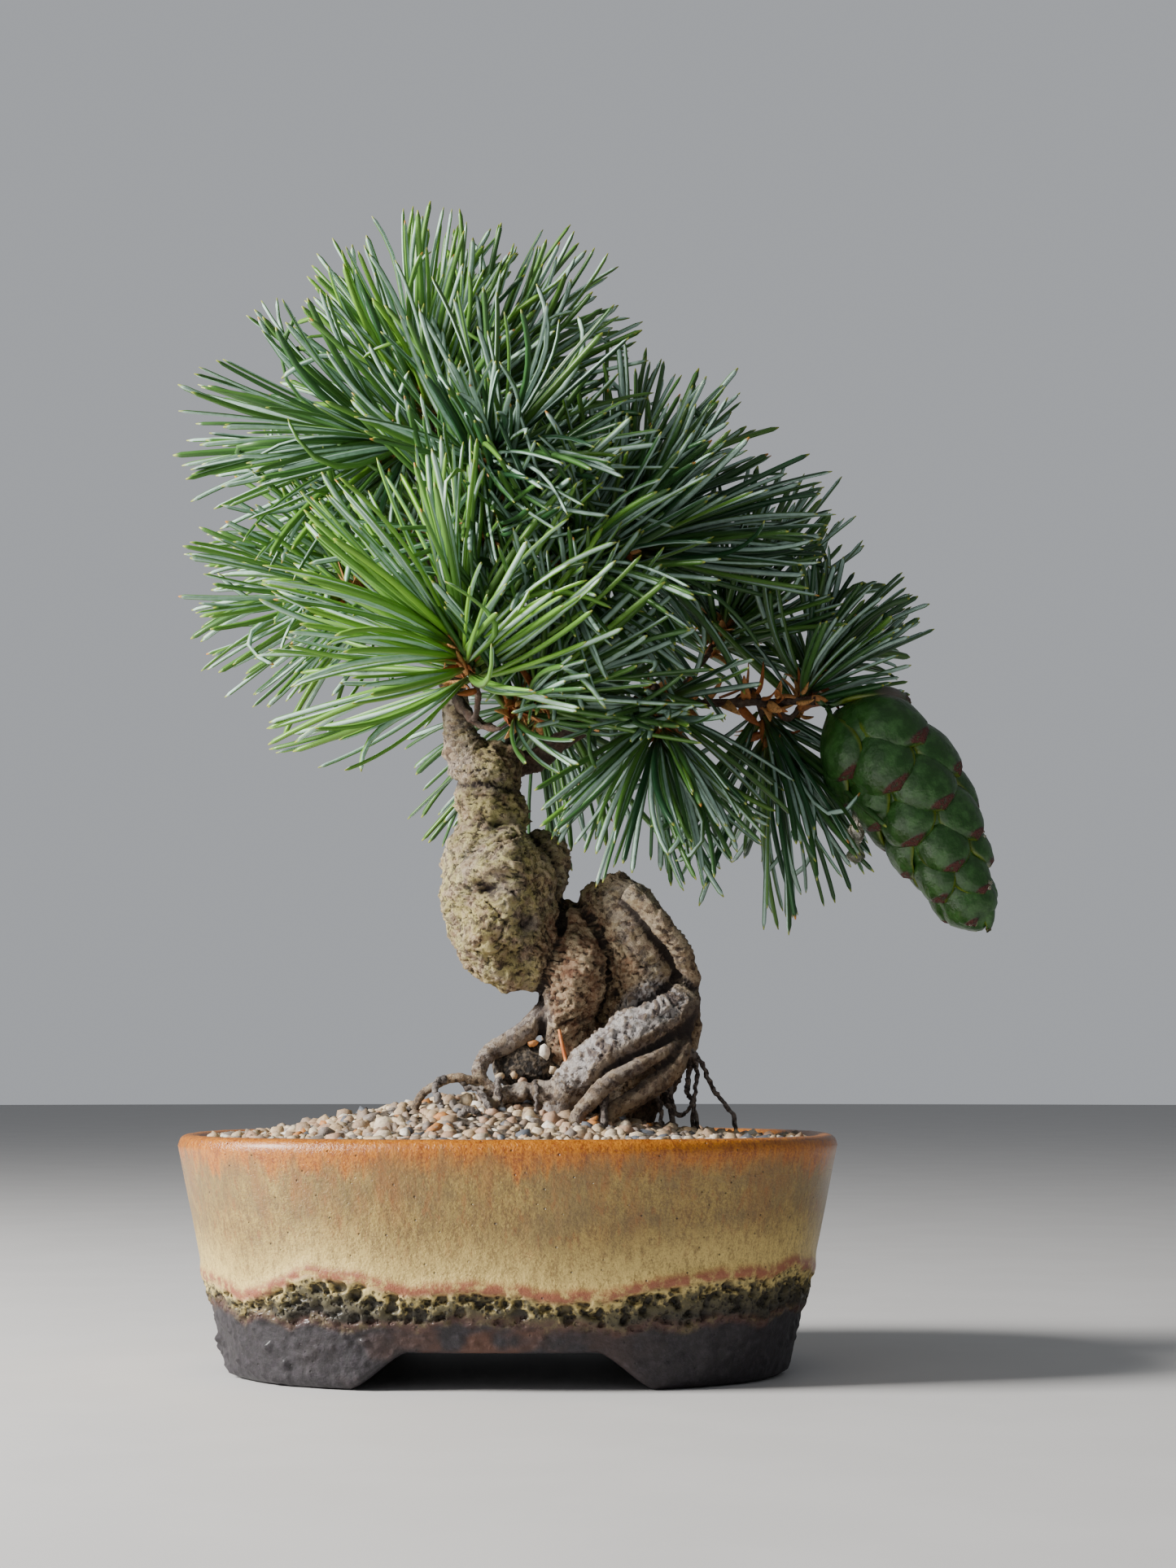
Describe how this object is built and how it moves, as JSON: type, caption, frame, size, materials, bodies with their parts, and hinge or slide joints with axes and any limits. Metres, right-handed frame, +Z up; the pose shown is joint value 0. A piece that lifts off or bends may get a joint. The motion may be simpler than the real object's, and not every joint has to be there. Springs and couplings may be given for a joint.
{
  "type": "bonsai tree in a pot",
  "caption": "Dwarf five-needle pine with a folded trunk, needle tufts and a hanging green cone, rooted in gravel in a glazed oval pot with cut feet.",
  "frame": {"origin": "on the surface that the pot stands on, below the middle of the whole object's box", "axes": "+Z up; +X along the pot's long side, towards the cone; +Y from the pot's front to its back"},
  "size_m": [0.1762, 0.1468, 0.2506],
  "materials": {
    "pot_glaze": "amber rim, mottled olive-cream glaze, pitted glaze line over rough dark clay",
    "drain_plastic": "black moulded mesh",
    "wire": "dark anodised wire",
    "earth": "gritty dark potting mix with fine roots",
    "grit": "mixed beige, grey and rust pebbles",
    "bark": "flaky grey-brown bark with lichen",
    "needle": "satin green needles with pale inner faces",
    "bud_scale": "papery orange-brown scales",
    "cone_scale": "waxy dark green scales with red-brown lips",
    "resin": "clear pale resin"
  },
  "bodies": {
    "root": {"anchor_wire": "wire", "bud_scales_apex": "bud_scale", "bud_scales_centre": "bud_scale", "bud_scales_front_centre": "bud_scale", "bud_scales_front_low": "bud_scale", "bud_scales_left": "bud_scale", "bud_scales_right_hang": "bud_scale", "bud_scales_right_upper": "bud_scale", "cone": "cone_scale", "drain_mesh_left": "drain_plastic", "drain_mesh_right": "drain_plastic", "needles_apex": "needle", "needles_apex_right": "needle", "needles_back_centre": "needle", "needles_back_left": "needle", "needles_back_low": "needle", "needles_back_right": "needle", "needles_centre": "needle", "needles_far_right": "needle", "needles_far_right_hang": "needle", "needles_front_centre": "needle", "needles_front_low": "needle", "needles_front_mid": "needle", "needles_left": "needle", "needles_left_high": "needle", "needles_mid_right": "needle", "needles_right_hang": "needle", "needles_right_mid": "needle", "needles_right_side": "needle", "needles_right_upper": "needle", "needles_upper_left": "needle", "pot": "pot_glaze", "resin_drip": "resin", "soil": "earth", "top_dressing": "grit", "wood": "bark"}
  },
  "joints": []
}
